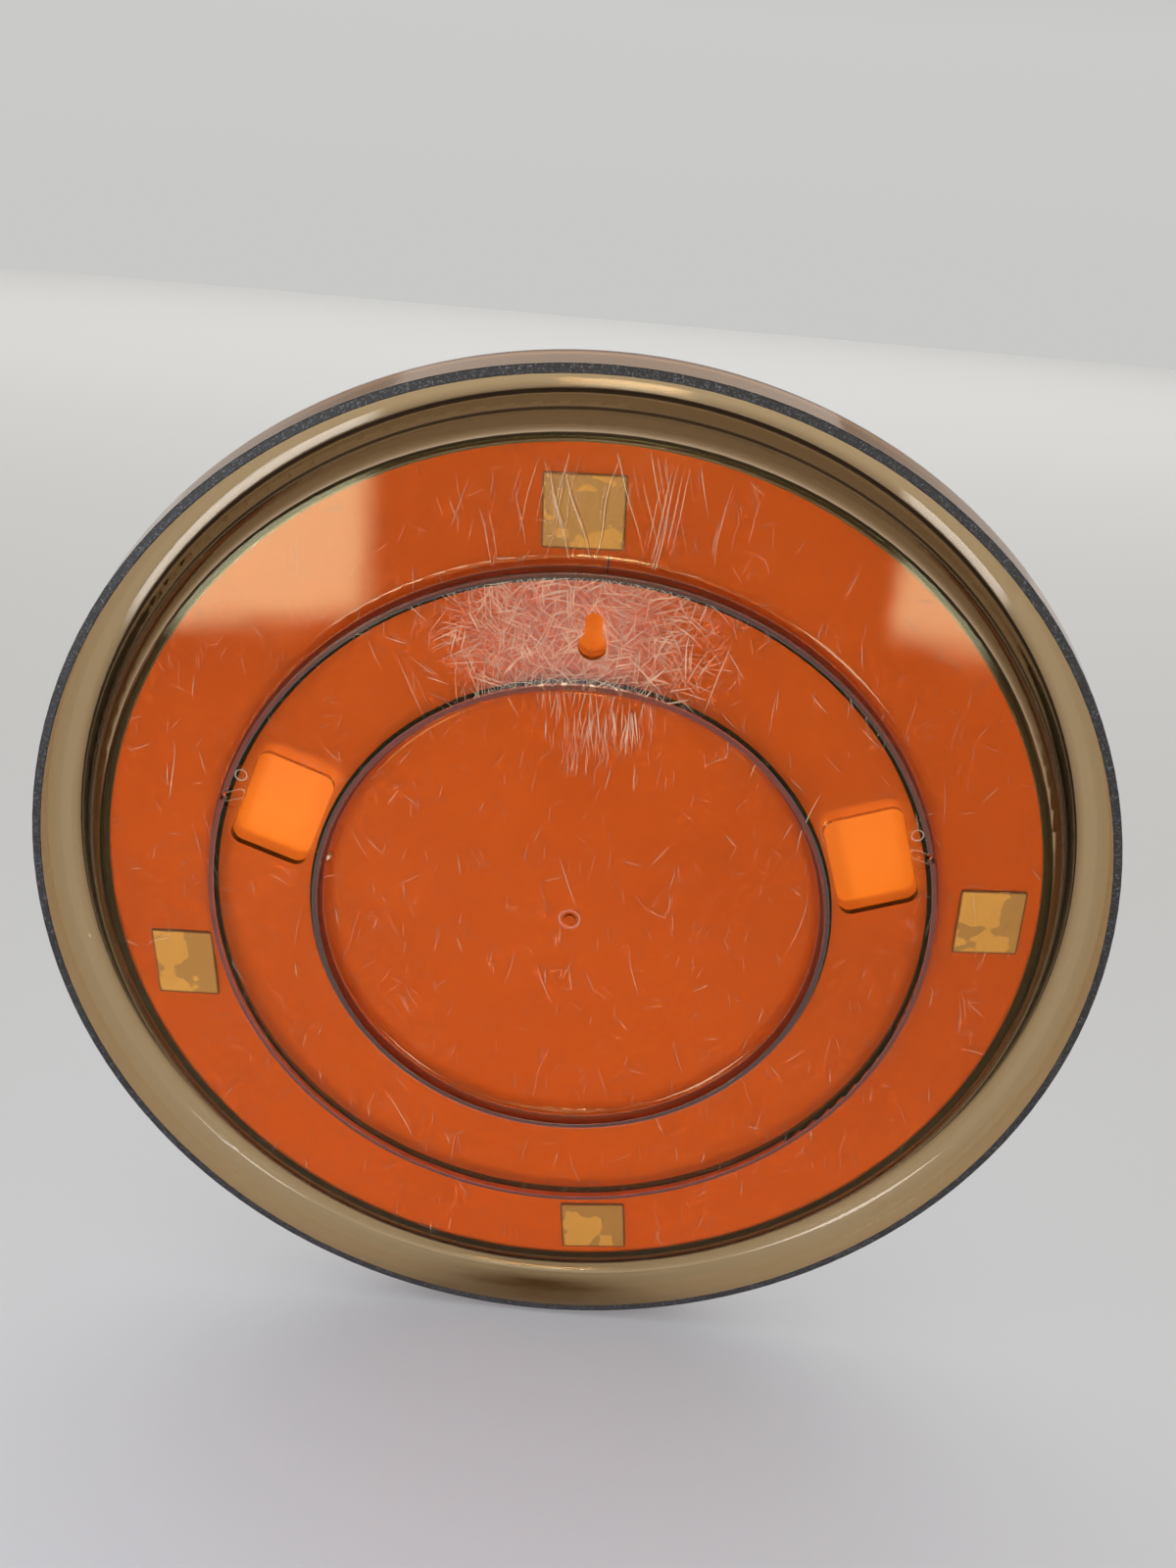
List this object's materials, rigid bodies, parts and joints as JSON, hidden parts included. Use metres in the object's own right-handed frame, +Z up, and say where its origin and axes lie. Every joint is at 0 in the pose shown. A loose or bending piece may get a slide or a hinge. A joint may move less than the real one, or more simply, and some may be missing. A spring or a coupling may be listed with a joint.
{
  "type": "round wall mirror",
  "caption": "Round wall-hung mirror in a smoke-tinted moulded plastic frame with a flared rim and a keyhole in its back.",
  "frame": {"origin": "centre of the keyhole's round head, on the back face of the raised ring, where the hanging screw enters", "axes": "+Z up as the mirror hangs, +Y towards the wall along the disc's axis, -Y into the room (the mirror side); the disc's own centre is at z = -0.1091 m and the wall plane at y = +0.001 m"},
  "size_m": [0.3992, 0.0227, 0.3992],
  "materials": {
    "smoke_plastic": "gloss, transparent brown smoke tint",
    "foam_tape": "matte yellowed double-sided tape",
    "orange_coat": "matte orange protective paint",
    "mirror_glass": "silvered float glass"
  },
  "bodies": {
    "root": {"smoke_frame": "smoke_plastic", "tape_pad_top": "foam_tape", "tape_pad_right": "foam_tape", "tape_pad_bottom": "foam_tape", "tape_pad_left": "foam_tape", "mirror_coat": "orange_coat", "mirror_glass": "mirror_glass"}
  },
  "joints": []
}
